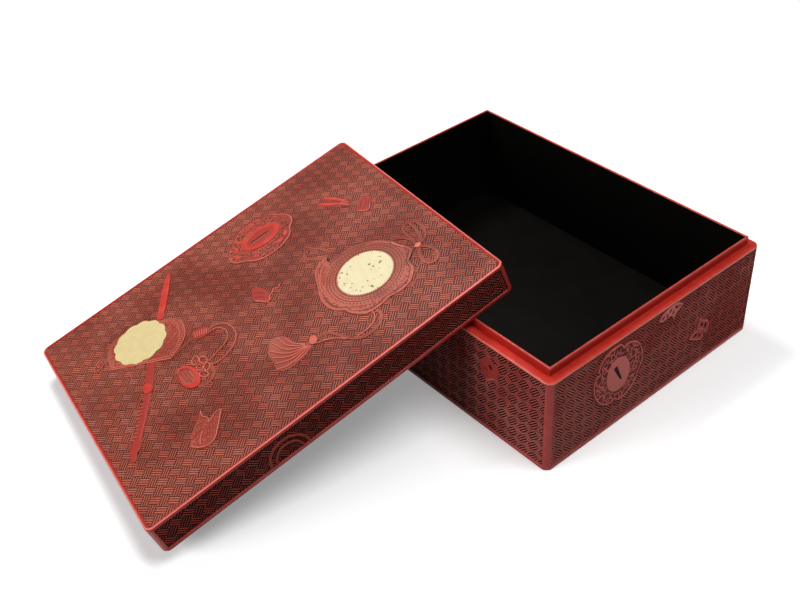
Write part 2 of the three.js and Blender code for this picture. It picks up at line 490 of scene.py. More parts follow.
def ring(section):
    """A ring round the box. Its section is a closed list of (inset, height, wear)."""
    mesh = bmesh.new()
    loops = []
    for point in section:
        before = len(mesh.edges)
        take_in(mesh, plan_loop(*point))
        mesh.edges.ensure_lookup_table()
        loops.append(range(before, len(mesh.edges)))
    rails = [[mesh.edges[i] for i in loop] for loop in loops]
    for first, second in zip(rails, rails[1:] + rails[:1]):
        for near, far in zip(first, second):
            mesh.faces.new((near.verts[0], near.verts[1], far.verts[1], far.verts[0]))
    bmesh.ops.recalc_face_normals(mesh, faces=mesh.faces)
    return mesh


def arc(inset, height, radius, start, end, steps, worn_and_highlit):
    """Points of a section on an arc, from one angle to another, in degrees."""
    points = []
    for i in range(steps + 1):
        angle = math.radians(start + (end - start) * i / steps)
        points.append((inset + radius * math.cos(angle), height + radius * math.sin(angle), worn_and_highlit))
    return points


def clip(mesh, point, outward):
    """Cuts away what lies beyond a plane and closes the cut."""
    geometry = mesh.verts[:] + mesh.edges[:] + mesh.faces[:]
    cut = bmesh.ops.bisect_plane(
        mesh, geom=geometry, dist=1e-5, plane_co=point, plane_no=outward, clear_outer=True)
    rims = [g for g in cut["geom_cut"] if isinstance(g, bmesh.types.BMEdge) and g.is_boundary]
    bmesh.ops.holes_fill(mesh, edges=rims, sides=0)


# %% [markdown]
# The sections follow the imported bars. Each is a list of points, in the order in which they go
# round the bar. The outer arris of the ledge, the crest of the moulding and the rounded top of
# the neck are painted palest, because hands and the lid rub there, and on the arris and the crest
# the pale is also a painted highlight. The neck is red outside and black inside, like the rest of
# the box, so its inner faces take a second material.

# %% Rings of the base
EDGE_ROUND = 0.5
LEDGE_ROUND = 1.6
NECK_INSET = 9.0
NECK_ROUND = 1.1
NECK_SLACK = 0.05


def names(pattern):
    return [pattern.format(side) for side in SIDES]


def edge_band(name, depth, top, low_wear_and_highlight, high_wear_and_highlight, place, body, replaced):
    """A flat band on the lower edge of base or lid, with its two outer edges rounded."""
    section = [(depth, 0, 0)]
    # The rounded edges are painted paler, the upper one partly as a painted highlight.
    section += arc(EDGE_ROUND, EDGE_ROUND, EDGE_ROUND, 270, 180, 3, low_wear_and_highlight)
    section += arc(EDGE_ROUND, top - EDGE_ROUND, EDGE_ROUND, 180, 90, 3, high_wear_and_highlight)
    section += [(depth, top, 0)]
    finish_piece(name, ring(section), place, body, [ROSE], replaced)


def ledge():
    section = [
        (NECK_INSET, LEDGE_TOP, 0.4), (NECK_INSET, LEDGE_LOW, 0), (0.6, LEDGE_LOW, 0),
        (0, LEDGE_LOW + 0.4, 0.2),
    ]
    # The pale at the outer arris is partly wear and partly a painted highlight.
    section += arc(LEDGE_ROUND, LEDGE_TOP - LEDGE_ROUND, LEDGE_ROUND, 180, 140, 3, 0.9)
    section += arc(LEDGE_ROUND, LEDGE_TOP - LEDGE_ROUND, LEDGE_ROUND, 120, 90, 3, 0.42)
    finish_piece("ledge", ring(section), BASE_PLACE, "base", [SMOOTH],
                 names("{}_ledge"))


def neck():
    inner = NECK_INSET + 2 * NECK_ROUND
    section = [(inner, NECK_LOW, 0), (NECK_INSET, NECK_LOW, 0), (NECK_INSET, NECK_TOP - 2.5, 0)]
    section += arc(NECK_INSET + NECK_ROUND, NECK_TOP - NECK_ROUND, NECK_ROUND, 180, 0, 8, 0.55)
    section += [(inner, NECK_TOP - 1.8, 0)]
    mesh = ring(section)
    inner_x = LENGTH / 2 - inner + NECK_SLACK
    inner_y = WIDTH / 2 - inner + NECK_SLACK
    for face in mesh.faces:
        centre = face.calc_center_median()
        faces_in = abs(centre.x) < inner_x and abs(centre.y) < inner_y
        if faces_in and centre.z < NECK_TOP - NECK_ROUND:
            face.material_index = 1
    finish_piece("neck", mesh, BASE_PLACE, "base", [SMOOTH, BLACK],
                 names("{}_neck"))


edge_band("foot_band", BASE_COAT, FOOT_TOP, 0.4, 0.5, BASE_PLACE, "base", names("{}_foot_band"))
ledge()
neck()

# %% [markdown]
# The lid has a rounded moulding along the edge of its top and a flat band along its rim. The
# moulding's crest is the palest place of the whole box, in a narrow line, partly rubbed and partly
# a painted highlight.

# %% Rings of the lid
CREST_ROUND = 2.1
INNER_ROUND = 1.5
# How pale each stretch of the crest is painted, as wear and a painted highlight.
CREST_WEAR_AND_HIGHLIGHT = ((90, 102, 1, 0.5), (112, 136, 3, 1.0), (148, 180, 3, 0))


def lid_moulding():
    section = [(0, LID_MOULDING_LOW, 0.6), (LID_MOULDING_WIDTH, LID_MOULDING_LOW + 0.6, 0)]
    section += arc(LID_MOULDING_WIDTH - INNER_ROUND, LID_HEIGHT - 1.7, INNER_ROUND, 0, 65, 4, 0.2)
    for start, end, steps, worn_and_highlit in CREST_WEAR_AND_HIGHLIGHT:
        section += arc(CREST_ROUND, LID_HEIGHT - CREST_ROUND, CREST_ROUND, start, end, steps, worn_and_highlit)
    section += [(0, LID_PANEL_TOP, 0)]
    finish_piece("lid_moulding", ring(section), LID_PLACE, "lid", [ROSE],
                 names("lid_{}_moulding"))


lid_moulding()
edge_band("lid_rim_band", LID_COAT, LID_RIM, 0.1, 0.5, LID_PLACE, "lid", names("lid_{}_rim_band"))

# %% [markdown]
# A corner strip covers the joint of two carved panels. It is the same ring, tall and thin, of
# which two planes leave one corner.

# %% Corner strips


def corner_strip(name, corner, thickness, low, high, place, body, replaced):
    mesh = ring([(thickness, low, 0), (0, low, 0.4), (0, high, 0.4), (thickness, high, 0)])
    turn = Matrix.Rotation(corner * math.pi / 2, 4, "Z")
    along, across = half_spans(corner)
    clip(mesh, turn @ Vector((along - STRIP_REACH, 0, 0)), turn @ Vector((-1, 0, 0)))
    clip(mesh, turn @ Vector((0, STRIP_REACH - across, 0)), turn @ Vector((0, 1, 0)))
    bmesh.ops.recalc_face_normals(mesh, faces=mesh.faces)
    finish_piece(name, mesh, place, body, [ROSE], replaced)


for i, corner in enumerate(CORNERS):
    corner_strip("corner_" + corner, i, BASE_COAT, FOOT_TOP, LEDGE_LOW, BASE_PLACE, "base",
                 ["corner_strip_" + corner])
    corner_strip("lid_corner_" + corner, i, LID_COAT, LID_RIM, LID_PANEL_TOP, LID_PLACE, "lid",
                 ["lid_corner_strip_" + corner])

# %% [markdown]
# ## The fret ground
# The ground is a fret on the diagonal: bars of three ridges lie across each other like the
# canes of a basket, with a small stud in each square between them. It could be a bump map, but
# cuts nearly a millimetre deep cast real shadows, so it is modelled. One tile holds two bars
# and two studs. Every ridge has sloping sides, as a gouge leaves them. On the lid's top, where
# hands rub, the ridges are broader.

# %% One tile of the fret
FRET_PITCH = 13.8
FRET_LINE = FRET_PITCH / math.sqrt(2) / 4
RUBBED_RIDGES = ((0.8, 1.75), (1.15, 2.3))
CRISP_RIDGES = ((0.45, 1.5), (0.7, 1.6))
RIDGE_LENGTH = 4.85 * FRET_LINE
FRET_HEIGHT = 0.8
STUD_SIZE = 2.2
STUD_SLOPE = 0.8
SUNK = 0.15


def block(mesh, size, centre):
    """The vertices of a new block in a bmesh."""
    verts = bmesh.ops.create_cube(mesh, size=1.0)["verts"]
    bmesh.ops.scale(mesh, vec=size, verts=verts)
    bmesh.ops.translate(mesh, vec=centre, verts=verts)
    return verts


def raised_block(mesh, centre, turn, length, width, slope, top=FRET_HEIGHT):
    """A low block with sloping sides, which stands in the ground plate."""
    verts = block(mesh, (length, width, top + SUNK), (0, 0, (top - SUNK) / 2))
    tops = [v for v in verts if v.co.z > 0]
    narrower = ((length - slope) / length, (width - slope) / width, 1)
    bmesh.ops.scale(mesh, vec=narrower, verts=tops)
    bmesh.ops.rotate(mesh, verts=verts, matrix=Matrix.Rotation(turn, 3, "Z"))
    bmesh.ops.translate(mesh, vec=(*centre, 0), verts=verts)


def fret_tile(ridges):
    """Two bars and two studs. Each kind of bar has ridges of its own width at top and foot."""
    mesh = bmesh.new()
    half = FRET_PITCH / 2
    bars = (((0, 0), math.pi / 4), ((half, half), -math.pi / 4))
    for (centre, turn), (top, foot) in zip(bars, ridges):
        for line in (-1, 0, 1):
            shift = line * FRET_LINE
            place = (centre[0] - shift * math.sin(turn), centre[1] + shift * math.cos(turn))
            raised_block(mesh, place, turn, RIDGE_LENGTH, foot, foot - top)
    for centre in ((half, 0), (0, half)):
        raised_block(mesh, centre, math.pi / 4, STUD_SIZE, STUD_SIZE, STUD_SLOPE)
    return as_data("fret_tile", mesh)


RUBBED_TILE = fret_tile(RUBBED_RIDGES)
CRISP_TILE = fret_tile(CRISP_RIDGES)
print("fret tile:", len(CRISP_TILE.polygons), "faces; line pitch", round(FRET_LINE, 2), "mm")

# %% [markdown]
# Two Array modifiers repeat the tile over a face, and planes cut it off at the face's edges, as
# the real fret runs on under the bands. A plate under it is the floor of the cuts. Walls, sides
# of the lid and top of the lid each have their own start for the pattern.

# %% Fret over a whole face


def as_evaluated(carrier):
    """The mesh that an object's curve or modifiers make. The object is removed."""
    evaluated = carrier.evaluated_get(bpy.context.evaluated_depsgraph_get())
    data = bpy.data.meshes.new_from_object(evaluated)
    bpy.data.objects.remove(carrier)
    return data


def fret_field(tile, width, height, start):
    """The tile repeated over a face, as a bmesh. Start is where one tile's centre lies."""
    carrier = add_object("fret_field", tile)
    for axis, length in ((0, width), (1, height)):
        array = carrier.modifiers.new("rows", "ARRAY")
        array.use_relative_offset = False
        array.use_constant_offset = True
        array.constant_offset_displace = [FRET_PITCH if i == axis else 0 for i in range(3)]
        array.count = math.ceil(length / FRET_PITCH) + 2
    mesh = bmesh.new()
    take_in(mesh, as_evaluated(carrier))
    first = [start[i] % FRET_PITCH - FRET_PITCH for i in range(2)]
    bmesh.ops.translate(mesh, vec=(*first, 0), verts=mesh.verts)
    return mesh


def mark_relief(mesh, full):
    """Writes how far each point stands out of the cuts, from 0 to 1."""
    relief = mesh.verts.layers.float.new("relief")
    for vert in mesh.verts:
        vert[relief] = min(max(vert.co.z / full, 0.0), 1.0)


def ground_plate(mesh, low, high, thickness):
    """The plate that the cuts reach down to, from one corner to the other."""
    size = [high[i] - low[i] for i in range(2)]
    middle = [(high[i] + low[i]) / 2 for i in range(2)]
    block(mesh, (*size, thickness), (*middle, -thickness / 2))


def carved_face(name, low, high, thickness, start, place, body, replaced, corner_cut=0.0,
                tile=CRISP_TILE, finish=CARVED):
    """A fret ground between two corners of a face, on its plate."""
    mesh = fret_field(tile, high[0], high[1], start)
    planes = [
        ((low[0], 0, 0), (-1, 0, 0)),
        ((high[0], 0, 0), (1, 0, 0)),
        ((0, low[1], 0), (0, -1, 0)),
        ((0, high[1], 0), (0, 1, 0)),
    ]
    if corner_cut:
        for x, along in ((low[0], -1), (high[0], 1)):
            for y, across in ((low[1], -1), (high[1], 1)):
                planes.append(((x - along * corner_cut, y, 0), (along, across, 0)))
    for point, outward in planes:
        clip(mesh, Vector(point), Vector(outward))
    ground_plate(mesh, low, high, thickness)
    mark_relief(mesh, FRET_HEIGHT)
    finish_piece(name, mesh, place, body, [finish], replaced)


# %% Grounds of the four walls, the lid's sides and the lid's top
CUT_LEVEL = 1.3
LID_CUT_LEVEL = 1.2
LID_TOP_CUT = 33.9
LID_TOP_PLATE = 0.8
LID_TOP_CORNER = 3.0
LID_TOP_EDGE = LID_MOULDING_WIDTH - 0.4
WALL_START = (8.45, 7.3)
LID_SIDE_START = (3.7, 3.4)
LID_TOP_START = (13.4, 6.1)

for i, side in enumerate(SIDES):
    reach = 2 * half_spans(i)[0] - STRIP_REACH
    carved_face(side + "_carved_wall", (STRIP_REACH, FOOT_TOP), (reach, LEDGE_LOW),
                BASE_COAT - CUT_LEVEL, WALL_START, side_frame(BASE_PLACE, i, CUT_LEVEL), "base",
                [side + "_carved_panel"])
    carved_face("lid_" + side + "_carved_side", (STRIP_REACH, LID_RIM), (reach, LID_PANEL_TOP),
                LID_COAT - LID_CUT_LEVEL, LID_SIDE_START, side_frame(LID_PLACE, i, LID_CUT_LEVEL),
                "lid", ["lid_" + side + "_carved_panel"], finish=CARVED_LID_SIDE_SHADED)
carved_face("lid_top_carved_ground", (LID_TOP_EDGE, LID_TOP_EDGE),
            (LENGTH - LID_TOP_EDGE, WIDTH - LID_TOP_EDGE), LID_TOP_PLATE, LID_TOP_START,
            top_frame(LID_PLACE, LID_TOP_CUT), "lid", ["lid_top_carving"],
            corner_cut=LID_TOP_CORNER, tile=RUBBED_TILE, finish=CARVED_TOP_LIGHT_TONED)

# %% [markdown]
# ## Drawing ornament in relief
# The ornament is a set of treasures: a mirror in its frame, a fan on a staff, sword guards,
# tassels, cords and small charms. Each one could be carved by hand as a sculpted mesh. Drawn
# as curves it stays readable: an outline filled and given a bevelled height is a plate, and a
# path swept with a flattened tube is a cord. Curves smooth themselves between a few points,
# and a point marked CORNER keeps its corner. Small bars set at even steps along a path make
# ribs and beads. These helpers work out the paths.

# %% Paths: ellipses, strewn spots and even steps
CORNER = True
FINE_STEPS = 10
SEED = 7
JITTER = 0.25


def ellipse(centre, radius, squeeze=1.0, turn=0.0, count=8):
    """Points round an ellipse, whose long axis is turned by some degrees."""
    points = []
    lean = math.radians(turn)
    for i in range(count):
        angle = 2 * math.pi * i / count
        x = radius * math.cos(angle)
        y = radius * squeeze * math.sin(angle)
        points.append((
            centre[0] + x * math.cos(lean) - y * math.sin(lean),
            centre[1] + x * math.sin(lean) + y * math.cos(lean),
        ))
    return points


def is_inside(point, outline):
    inside = False
    for a, b in zip(outline, outline[1:] + outline[:1]):
        if (a[1] > point[1]) != (b[1] > point[1]):
            crossing = a[0] + (point[1] - a[1]) * (b[0] - a[0]) / (b[1] - a[1])
            inside = inside != (point[0] < crossing)
    return inside


def strew(outline, holes, pitch, margin):
    """Spots strewn over an outline and clear of its holes, each with a random direction."""
    dice = random.Random(SEED)
    low = [min(point[i] for point in outline) for i in range(2)]
    high = [max(point[i] for point in outline) for i in range(2)]
    spots = []
    for row in range(int((high[1] - low[1]) / pitch) + 1):
        for column in range(int((high[0] - low[0]) / pitch) + 1):
            x = low[0] + pitch * (column + 0.5 * (row % 2) + dice.uniform(-JITTER, JITTER))
            y = low[1] + pitch * (row + dice.uniform(-JITTER, JITTER))
            turn = dice.uniform(0, 360)
            rim = ellipse((x, y), margin)
            is_clear = not any(is_inside(point, hole) for point in rim for hole in holes)
            if is_clear and all(is_inside(point, outline) for point in rim):
                spots.append((x, y, turn))
    return spots


def beside(points, distance):
    """An open path moved to the left of its direction."""
    moved = []
    for i, point in enumerate(points):
        before = Vector(points[max(i - 1, 0)][:2])
        after = Vector(points[min(i + 1, len(points) - 1)][:2])
        along = (after - before).normalized()
        moved.append((point[0] - distance * along.y, point[1] + distance * along.x))
    return moved


def walk(points, step, closed):
    """Places at even steps along a smooth path, each with its direction."""
    knots = [Vector(point[:2]) for point in points]
    if closed:
        knots = knots[-1:] + knots + knots[:2]
    else:
        knots = [2 * knots[0] - knots[1]] + knots + [2 * knots[-1] - knots[-2]]
    fine = []
    for a, b, c, d in zip(knots, knots[1:], knots[2:], knots[3:]):
        for i in range(FINE_STEPS):
            t = i / FINE_STEPS
            bend = (c - a) * t + (2 * a - 5 * b + 4 * c - d) * t**2 + (3 * b - 3 * c + d - a) * t**3
            fine.append(b + 0.5 * bend)
    fine.append(knots[-2])
    places = []
    ahead = 0.0
    for a, b in zip(fine, fine[1:]):
        length = (b - a).length
        while ahead < length:
            places.append((a.lerp(b, ahead / length), math.atan2(b.y - a.y, b.x - a.x)))
            ahead += step
        ahead -= length
    return places


# %% [markdown]
# All the ornament of one face is gathered in one mesh, drawn in that face's millimetres. Each
# part has a top, the height in millimetres that it reaches, and a tone, its relief number up
# there: 0 is the painted shade of the cuts, 2 is a face of the ornament and 3 its pale edge,
# partly worn and partly a painted highlight. The number sinks to 0 at the level of the cuts, so
# the foot of every part is painted dark, as painted shade. A part of tone 0 is a dark mark that
# stands for the shade in a cut.

# %% Plates, cords and bars on one face
FACE_TONE = 2
WORN_AND_HIGHLIT_TONE = 3
# How dark the sunk ground inside motifs and the groove of a rope are painted, as painted shade.
WALL_SUNK_SHADE = 0.2
LID_TOP_SUNK_SHADE = 0.62
CURVE_STEPS = 4
BAR_SLOPE = 0.5
TOP_WEAR = 0.5
AS_DRAWN = ((0, 0), (0, 0), 0, 1)


class Relief:
    """Ornament that stands on one face, drawn in that face's millimetres."""

    def __init__(self, floor_tone=WALL_SUNK_SHADE):
        self.floor_tone = floor_tone
        self.mesh = bmesh.new()
        for layer in ("relief", "wear_and_highlight"):
            self.mesh.verts.layers.float.new(layer)
        self.draw_at(*AS_DRAWN)

    def draw_at(self, old, new, turn, size):
        """Moves what is drawn next, so that the point old lands on the point new."""
        self.place = (
            Matrix.Translation((*new, 0))
            @ Matrix.Rotation(math.radians(turn), 4, "Z")
            @ Matrix.Diagonal((size, size, 1, 1))
            @ Matrix.Translation((-old[0], -old[1], 0))
        )

    def add(self, part, top, tone, polished):
        """Takes over a part that already has its height, and colours it."""
        bmesh.ops.transform(part, matrix=self.place, verts=part.verts)
        relief = part.verts.layers.float.new("relief")
        wear_and_highlight = part.verts.layers.float.new("wear_and_highlight")
        for vert in part.verts:
            share = max(vert.co.z, 0.0) / top
            vert[relief] = tone * share
            vert[wear_and_highlight] = TOP_WEAR * share
        for face in part.faces:
            face.material_index = int(polished)
        take_in(self.mesh, as_data("part", part))

    def sweep(self, curve, paths, closed, low, top, tone, polished):
        """Fills a curve with smooth paths, makes it solid and stretches it to its height."""
        for path in paths:
            spline = curve.splines.new("BEZIER")
            spline.bezier_points.add(len(path) - 1)
            for knot, point in zip(spline.bezier_points, path):
                knot.co = (point[0], point[1], 0)
                kind = "VECTOR" if len(point) > 2 else "AUTO"
                knot.handle_left_type = kind
                knot.handle_right_type = kind
            spline.use_cyclic_u = closed
        curve.resolution_u = CURVE_STEPS
        part = bmesh.new()
        take_in(part, as_evaluated(add_object("sweep", curve)))
        bpy.data.curves.remove(curve)
        bmesh.ops.remove_doubles(part, verts=part.verts, dist=1e-4)
        bmesh.ops.recalc_face_normals(part, faces=part.faces)
        half = max(vert.co.z for vert in part.verts)
        for vert in part.verts:
            vert.co.z = low + (top - low) * (vert.co.z + half) / (2 * half)
        self.add(part, top, tone, polished)

    def floor(self, outline):
        """The sunk ground inside a motif, which covers the fret, painted dark as painted shade of a deep
        cut.
        """
        self.plate(outline, top=0.95, tone=self.floor_tone, edge=0.15)

    def plate(self, *loops, top, tone=FACE_TONE, polished=False, edge=0.3):
        """A flat raised shape. Loops after the first one are holes in it."""
        curve = bpy.data.curves.new("plate", "CURVE")
        curve.dimensions = "2D"
        curve.fill_mode = "BOTH"
        curve.extrude = 1.0
        curve.bevel_depth = edge
        curve.offset = -edge
        self.sweep(curve, loops, True, -SUNK, top, tone, polished)

    def cords(self, *paths, width, top, tone=WORN_AND_HIGHLIT_TONE, closed=False, polished=False):
        """Rounded strands along paths."""
        curve = bpy.data.curves.new("cords", "CURVE")
        curve.dimensions = "3D"
        curve.bevel_depth = width / 2
        curve.bevel_resolution = 1
        curve.use_fill_caps = True
        self.sweep(curve, paths, closed, -0.5 * top, top, tone, polished)

    def cuts(self, *paths, width=0.8, top=1.55, closed=False):
        """Engraved lines, drawn as dark strands flush with the plate under them: painted shade for the
        shadow in a groove.
        """
        self.cords(*paths, width=width, top=top, tone=0, closed=closed)

    def strokes(self, spots, length, width, tone, top=1.6):
        """Short bent strokes of the gouge, the all-over carving inside a motif."""
        paths = []
        for x, y, turn in spots:
            along = 0.5 * length * Vector((math.cos(math.radians(turn)), math.sin(math.radians(turn))))
            middle = Vector((x, y))
            paths.append([middle - along, middle + 0.5 * along.orthogonal(), middle + along])
        self.cords(*paths, width=width, top=top, tone=tone)

    def bars(self, path, step, length, width, top, tone=WORN_AND_HIGHLIT_TONE, closed=False):
        """Small bars across a path, at even steps."""
        part = bmesh.new()
        for centre, turn in walk(path, step, closed):
            raised_block(part, centre, turn, width, length, BAR_SLOPE, top)
        self.add(part, top, tone, False)

    def rope(self, path, gap=2.4):
        """A soft flat cord with a groove along its middle, painted dark as painted shade."""
        self.cords(path, width=gap, top=1.0, tone=self.floor_tone)
        self.cords(beside(path, gap / 2), beside(path, -gap / 2), width=1.15, top=1.6, tone=1.2)

    def finish(self, name, place, body, finish=CARVED):
        finish_piece(name, self.mesh, place, body, [finish, SMOOTH])


# %% [markdown]
# ## Ornament of the lid's top
# The treasures stand well above the fret, most with a pale line along the outline, partly
# rubbed and partly a painted highlight, and on some a dark line on the other side as painted
# shadow. The fan is a rounded leaf with one straight edge, set on a lacquered staff, and its round
# cream inlay covers the middle of the leaf. What is too small to read in the photograph is filled
# with plain strokes, curls and ribs of the same size.

# %% Fan and staff


def fan(relief):
    outline = [
        (50, 212, CORNER), (103.5, 172.5, CORNER), (118, 180.5), (128, 190), (133, 203), (134, 215),
        (129, 225), (118, 234), (98, 250), (78, 252), (63, 250), (55, 239), (51, 227),
    ]
    relief.floor(outline)
    edge = [(50, 212), (77, 192), (103.5, 172.5)]
    relief.cords(beside(edge, 0.9), width=1.7, top=1.85)
    relief.cords([(50.5, 216), (68, 202.5), (86, 189.5), (104.5, 177.5)], width=1.5, top=1.6)
    border = [(105, 179), (114, 184), (123, 193), (127.5, 206), (129, 218), (124, 226)]
    relief.cords(border, width=1.0, top=1.75)
    relief.cords([(104, 174), (118, 181), (128, 190), (133, 203), (134, 215)], width=1.2, top=1.8)
    relief.bars(beside(border, -2.4), 2.6, 3.0, 1.2, top=1.75)
    disc = ellipse((88.4, 223), 29.0, count=24)
    leaf = [(54, 214), (103, 178), (114, 184), (123, 193), (128, 206), (126, 222), (98, 246),
            (64, 246), (55, 232)]
    relief.strokes(strew(leaf, [disc], 3.6, 0.9), 4.4, 1.8, top=1.5, tone=2.3)
    relief.cords([(50, 238), (43, 236.5), (37, 231), (35, 228), (40, 225.5), (48, 229)],
                 [(48, 234), (42, 232), (40, 229), (47, 231)], width=1.2, top=1.6)


def staff(relief):
    upper = [
        (114.5, 237.5, CORNER), (120.5, 232.5, CORNER), (132, 250), (147.5, 274.7),
        (156.5, 290.8, CORNER), (154, 293, CORNER), (142.2, 280.8), (126, 256),
    ]
    relief.plate(upper, top=1.8, polished=True, edge=0.8)
    lower = [
        (82.6, 188.6, CORNER), (89, 183.5, CORNER), (82, 170), (74, 156, CORNER),
        (66.5, 160.5, CORNER), (72, 171),
    ]
    relief.plate(lower, top=1.8, edge=0.8)
    knob = [(64, 157), (68, 163.5), (73, 160), (73.5, 153), (69.5, 149.5), (64.5, 152)]
    relief.plate(knob, top=2.1, polished=True, edge=0.7)
    stock = [
        (62.5, 150, CORNER), (71, 149, CORNER), (64, 139), (50, 118), (39, 102), (32.5, 92, CORNER),
        (24, 97), (32, 108), (42, 123), (52, 138),
    ]
    relief.plate(stock, top=1.5)
    relief.cords([(69, 148), (63, 139.5), (49, 118.5), (38, 103), (32.5, 94)],
                 width=2.2, top=1.9, tone=2.4)
    # Dark bars of tone 0 between the ribs: painted shade.
    relief.bars([(58.5, 145), (44, 122), (30.5, 102)], 4.4, 5.4, 1.1, top=1.55, tone=0)
    relief.bars([(56, 142), (41.5, 119), (32, 104)], 4.4, 4.6, 1.4, top=1.85, tone=2.5)
    cap = [
        (19.5, 85), (22.5, 81.5), (26.5, 85.5), (28.5, 90, CORNER), (32.5, 91.5, CORNER), (37, 100),
        (33, 105.5), (27, 102), (22.5, 93.5),
    ]
    relief.plate(cap, top=2.0, edge=0.7)


# %% [markdown]
# The mirror is the cream disc. Its frame is a broad plate with lobes, on which rings of ribs
# and dark beads run round the disc and a dark line follows the lobes, both painted shade for
# cuts. Pale cords lie on the lit part of the edge as a painted highlight, and a dark line along
# the rest of the edge is a painted shadow.

# %% Mirror in its lobed frame
MIRROR_CENTRE = (302.5, 105)
INNER_EDGE = 0.93


def mirror_circle(radius):
    return ellipse(MIRROR_CENTRE, radius, count=24)


def mirror_frame(relief):
    outline = [
        (268.7, 150.6), (277, 157.5), (286.5, 159.4, CORNER), (284, 151, CORNER), (293, 151.5),
        (304, 151, CORNER), (315, 149), (324.6, 143.9), (334, 137), (340.3, 128.8), (346, 119),
        (347.5, 110, CORNER), (351.5, 101), (353, 92, CORNER), (346.5, 86), (341, 82, CORNER),
        (340, 72), (334.5, 64), (326, 56.5, CORNER), (314, 54.5), (301.4, 57, CORNER),
        (287, 54.8), (273.5, 57, CORNER), (264.1, 70), (261.5, 80, CORNER), (255, 87), (251.8, 98),
        (253, 113), (258.9, 128), (264, 142),
    ]
    relief.plate(outline, top=1.4, tone=1.3)
    # The pale cord on the lit part of the outline is a painted highlight; the dark line on the rest is a
    # painted shadow.
    relief.cords(outline[16:] + outline[:3], width=1.4, top=1.75, tone=2.7)
    relief.cuts(outline[3:17], width=1.0, top=1.5)
    relief.bars(mirror_circle(29.7), 2.2, 2.2, 1.3, top=1.9, tone=1.2, closed=True)
    # Dark lines and dark beads of tone 0 round the disc: painted shade for cuts.
    relief.cuts(mirror_circle(31.6), mirror_circle(37.6), width=1.2, closed=True)
    for radius in (34.5, 40.5):
        relief.bars(mirror_circle(radius), 3.8, 1.6, 2.0, top=1.55, tone=0, closed=True)
    lobes = [(MIRROR_CENTRE[0] + INNER_EDGE * (x - MIRROR_CENTRE[0]),
              MIRROR_CENTRE[1] + INNER_EDGE * (y - MIRROR_CENTRE[1]), *rest) for x, y, *rest in outline]
    relief.cuts(lobes, width=1.1, closed=True)
    inner = mirror_circle(41.5)
    relief.strokes(strew(outline, [inner], 4.6, 2.4), 4.2, 1.5, top=1.65, tone=2.2)
    # Dark strokes of tone 0: painted shade of gouge cuts.
    relief.strokes(strew(outline, [inner], 5.3, 3.0), 3.4, 1.0, tone=0)
    # Dark bars of tone 0 along the border: painted shade.
    for border in (
        [(309, 58.5), (317, 58.3), (325, 60)],
        [(276, 60.5), (287, 58.3), (298, 59.8)],
        [(286, 148), (294, 149), (302, 148.5)],
        [(337, 80), (344, 89), (350, 95)],
        [(258, 88), (255.5, 98), (256.5, 110)],
    ):
        relief.bars(border, 2.0, 2.6, 1.0, top=1.6, tone=0)
    relief.cords(
        [(262, 117), (264, 131), (272, 145), (281, 153)],
        [(258, 108), (261, 127), (269, 145)],
        [(266, 74), (272, 66), (280, 62)],
        [(342, 119), (335, 131), (324, 139)],
        width=1.6, top=1.8, tone=2.7)


# %% [markdown]
# Silk cords tie the treasures together. Most are two strands with a groove between them, which
# `rope` draws, and where two cords meet a flat knot covers the crossing.

# %% Cords, bow and knot


def bow(relief):
    """The knotted cord beside the mirror."""
    relief.rope([(359.6, 92), (367, 99), (370.5, 110), (372, 123.6), (371, 131)])
    relief.rope([(360, 92), (371, 96.5), (377, 107), (378, 118), (375.5, 127), (370, 129.5),
                 (362, 124), (360.5, 112), (361, 100)], gap=2.2)
    relief.rope([(359.3, 93), (358.5, 108), (352.5, 118), (344, 121.5), (340.5, 117.5), (348, 110)])
    relief.cords([(349, 101), (346.5, 108), (343.5, 118)], width=2.2, top=1.9)
    relief.rope([(359.6, 91), (366.5, 80), (366.8, 68), (361.7, 61), (355, 60.5), (351.3, 69),
                 (354, 81), (358.5, 90)], gap=2.8)
    relief.plate(ellipse((359.5, 92), 3.6, 0.8), top=2.1, edge=0.6, tone=WORN_AND_HIGHLIT_TONE)
    relief.rope([(287.7, 160), (279.3, 167), (273, 174), (272.5, 182.5), (278, 186), (286, 182),
                 (293, 167)])


def fan_cord(relief):
    """The cord that hangs from the fan's tip, with its knot, and the ribbon's loop."""
    relief.rope([(104.5, 174.5), (117, 176.5), (134, 180)])
    knot = [(133, 181.5), (138, 187), (145, 185), (150.5, 180), (149, 172.5), (143.4, 171),
            (136, 174)]
    relief.plate(knot, top=1.6, edge=0.5)
    relief.bars([(136, 180.5), (142, 178.5), (148, 175.5)], 2.5, 8.0, 1.3, top=2.1)
    outer = [(149, 175), (157, 175), (164, 171), (168.7, 160.4), (168.5, 147.6), (161.6, 136.1),
             (149, 129), (137, 127.5), (130.2, 130.3)]
    inner = [(148, 171.5), (156, 170.5), (161, 165), (162.2, 156.5), (158.4, 147.5), (149.3, 142),
             (139.4, 139), (131, 136)]
    relief.cords(outer, inner, width=2.0, top=1.8, tone=1.3)
    # A thin pale line along one side of each loop cord: painted highlight.
    relief.cords(beside(outer, 0.7), beside(inner, 0.7), width=0.8, top=1.8, tone=2.6)
    relief.rope([(130.5, 130), (129, 119), (122.5, 112.5), (115, 112), (108.5, 115)])


# %% [markdown]
# The small treasures between fan and mirror are a drum with an openwork flower, a pouch and a
# tassel. The tassel's strands fan out from its knot, and curls fill the pouch, as they fill
# brocade.

# %% Drum, flower, pouch and tassel
CURL_TURNS = 1.25
CURL_STEPS = 8
CURL_CORE = 0.25


